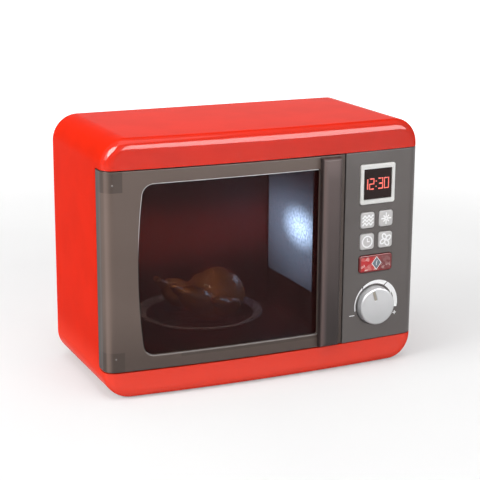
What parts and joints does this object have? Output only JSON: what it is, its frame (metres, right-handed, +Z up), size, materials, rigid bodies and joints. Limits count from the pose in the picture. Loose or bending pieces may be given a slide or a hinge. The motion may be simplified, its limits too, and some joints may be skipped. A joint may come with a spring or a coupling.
{
  "type": "toy microwave oven",
  "caption": "Toy microwave oven with a bowed front, a hinged windowed door, push buttons, a timer knob and a turning plate with pretend food.",
  "frame": {"origin": "on the floor under the middle of the whole box, handle included", "axes": "+X to the oven's right as seen from the front, +Y from the front to the back, +Z up"},
  "size_m": [0.29, 0.1472, 0.2185],
  "materials": {
    "red_plastic": "glossy red plastic",
    "grey_plastic": "satin dark grey plastic",
    "handle_plastic": "satin dark brown-grey plastic",
    "smoked_clear": "smoked clear plastic",
    "plate_plastic": "glossy dark plastic",
    "white_plastic": "white plastic",
    "silver_plastic": "satin silver-grey plastic",
    "button_plastic": "satin light grey plastic",
    "red_clear": "translucent red plastic",
    "black_plastic": "black plastic",
    "board": "green circuit board",
    "diffuser_plastic": "frosted bluish-white plastic",
    "gear_plastic": "cream plastic",
    "steel": "plain steel",
    "chicken_plastic": "roast-brown plastic"
  },
  "bodies": {
    "case": {"case_shell": "red_plastic", "rear_cover": "red_plastic", "rear_screw_1": "steel", "rear_screw_2": "steel", "rear_screw_3": "steel", "rear_screw_4": "steel", "cavity_liner": "red_plastic", "light_diffuser": "diffuser_plastic", "lamp_holder": "white_plastic", "lamp_led": "diffuser_plastic", "control_panel": "grey_plastic", "display_bezel": "white_plastic", "display_lens": "black_plastic", "display_module": "black_plastic", "control_board": "board", "button_switch_1": "black_plastic", "button_switch_2": "black_plastic", "button_switch_3": "black_plastic", "button_switch_4": "black_plastic", "start_switch": "black_plastic", "start_led": "red_clear", "timer_switch": "steel", "speaker": "black_plastic", "battery_box": "black_plastic", "battery_1": "steel", "battery_2": "steel", "battery_3": "steel", "battery_contact_upper": "steel", "battery_contact_lower": "steel", "battery_door": "red_plastic", "battery_door_screw": "steel", "gearbox_base": "white_plastic", "drive_motor": "steel", "idler_axle": "steel", "hinge_pin_top": "steel", "hinge_pin_bottom": "steel", "door_switch": "black_plastic"},
    "door": {"door_frame": "grey_plastic", "door_window": "smoked_clear", "door_liner": "grey_plastic", "door_handle": "handle_plastic", "door_catch": "grey_plastic", "handle_screw_upper": "steel", "handle_screw_lower": "steel"},
    "knob": {"timer_knob": "silver_plastic", "knob_shaft": "steel"},
    "waves_button": {"waves_button": "button_plastic"},
    "frost_button": {"frost_button": "button_plastic"},
    "clock_button": {"clock_button": "button_plastic"},
    "fan_button": {"fan_button": "button_plastic"},
    "start_button": {"start_button": "red_clear"},
    "turntable": {"turntable_spindle": "white_plastic", "output_gear": "gear_plastic"},
    "plate": {"turntable_plate": "plate_plastic"},
    "chicken": {"toy_chicken": "chicken_plastic"},
    "idler": {"idler_gear": "gear_plastic"},
    "pinion": {"motor_shaft": "steel", "motor_pinion": "gear_plastic"}
  },
  "joints": [
    {"name": "door_hinge", "type": "hinge", "parent": "case", "child": "door", "pos_m": [-0.1403, -0.0534, 0.10865], "axis": [0, 0, -1], "range_deg": [0, 105]},
    {"name": "timer_turn", "type": "hinge", "parent": "case", "child": "knob", "pos_m": [0.1025, -0.063, 0.0557], "axis": [0, -1, 0], "range_deg": [-122, 88]},
    {"name": "waves_button_press", "type": "slide", "parent": "case", "child": "waves_button", "axis": [0, 1, 0], "range_m": [0, 0.0015], "stiffness_N_per_m": 300},
    {"name": "frost_button_press", "type": "slide", "parent": "case", "child": "frost_button", "axis": [0, 1, 0], "range_m": [0, 0.0015], "stiffness_N_per_m": 300},
    {"name": "clock_button_press", "type": "slide", "parent": "case", "child": "clock_button", "axis": [0, 1, 0], "range_m": [0, 0.0015], "stiffness_N_per_m": 300},
    {"name": "fan_button_press", "type": "slide", "parent": "case", "child": "fan_button", "axis": [0, 1, 0], "range_m": [0, 0.0015], "stiffness_N_per_m": 300},
    {"name": "start_button_press", "type": "slide", "parent": "case", "child": "start_button", "axis": [0, 1, 0], "range_m": [0, 0.0015], "stiffness_N_per_m": 300},
    {"name": "turntable_spin", "type": "hinge", "parent": "case", "child": "turntable", "pos_m": [-0.034, 0.0076, 0.028], "axis": [0, 0, 1], "continuous": true},
    {"name": "idler_spin", "type": "hinge", "parent": "case", "child": "idler", "pos_m": [-0.01, 0.0076, 0.0172], "axis": [0, 0, 1], "continuous": true},
    {"name": "pinion_spin", "type": "hinge", "parent": "case", "child": "pinion", "pos_m": [0.01, 0.0076, 0.0166], "axis": [0, 0, 1], "continuous": true},
    {"name": "plate_lift", "type": "slide", "parent": "turntable", "child": "plate", "axis": [0, 0, 1], "range_m": [0, 0.012]},
    {"name": "chicken_lift", "type": "slide", "parent": "plate", "child": "chicken", "axis": [0, 0, 1], "range_m": [0, 0.04]}
  ],
  "couplings": [
    {"joint": "idler_spin", "follows": "turntable_spin", "ratio": -5},
    {"joint": "pinion_spin", "follows": "turntable_spin", "ratio": 20}
  ]
}
